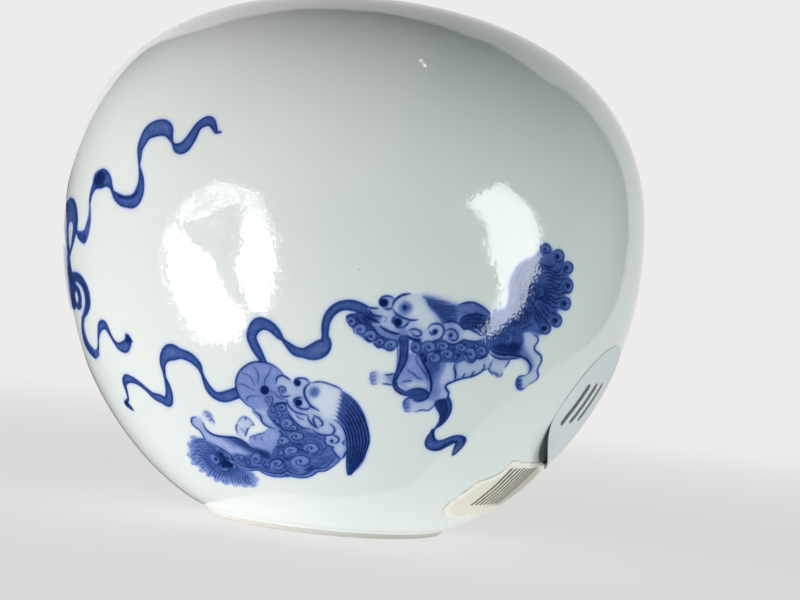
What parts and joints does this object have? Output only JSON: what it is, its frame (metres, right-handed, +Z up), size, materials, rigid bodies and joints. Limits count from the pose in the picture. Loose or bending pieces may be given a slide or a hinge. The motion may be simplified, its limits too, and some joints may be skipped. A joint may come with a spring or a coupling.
{
  "type": "porcelain water pot",
  "caption": "Apple-shaped porcelain water pot with a narrow rolled mouth on a small unglazed foot ring, painted in underglaze cobalt with lions, brocade balls and ribbons.",
  "frame": {"origin": "centre of the foot ring's standing face, on the surface the pot stands on", "axes": "+Z up along the turning axis, -Y towards the painted front"},
  "size_m": [0.08, 0.08, 0.0702],
  "materials": {
    "glaze": "clear glossy glaze with fine pinholes over white porcelain, painted in underglaze cobalt blue",
    "biscuit": "bare fired clay, matte, warm beige",
    "blue_paper": "matte coated paper dot, light blue-grey",
    "cream_paper": "matte aged paper with a torn fibrous edge"
  },
  "bodies": {
    "root": {"lower_body": "glaze", "upper_body": "glaze", "foot_ring": "biscuit", "round_sticker": "blue_paper", "label_remnant": "cream_paper"}
  },
  "joints": []
}
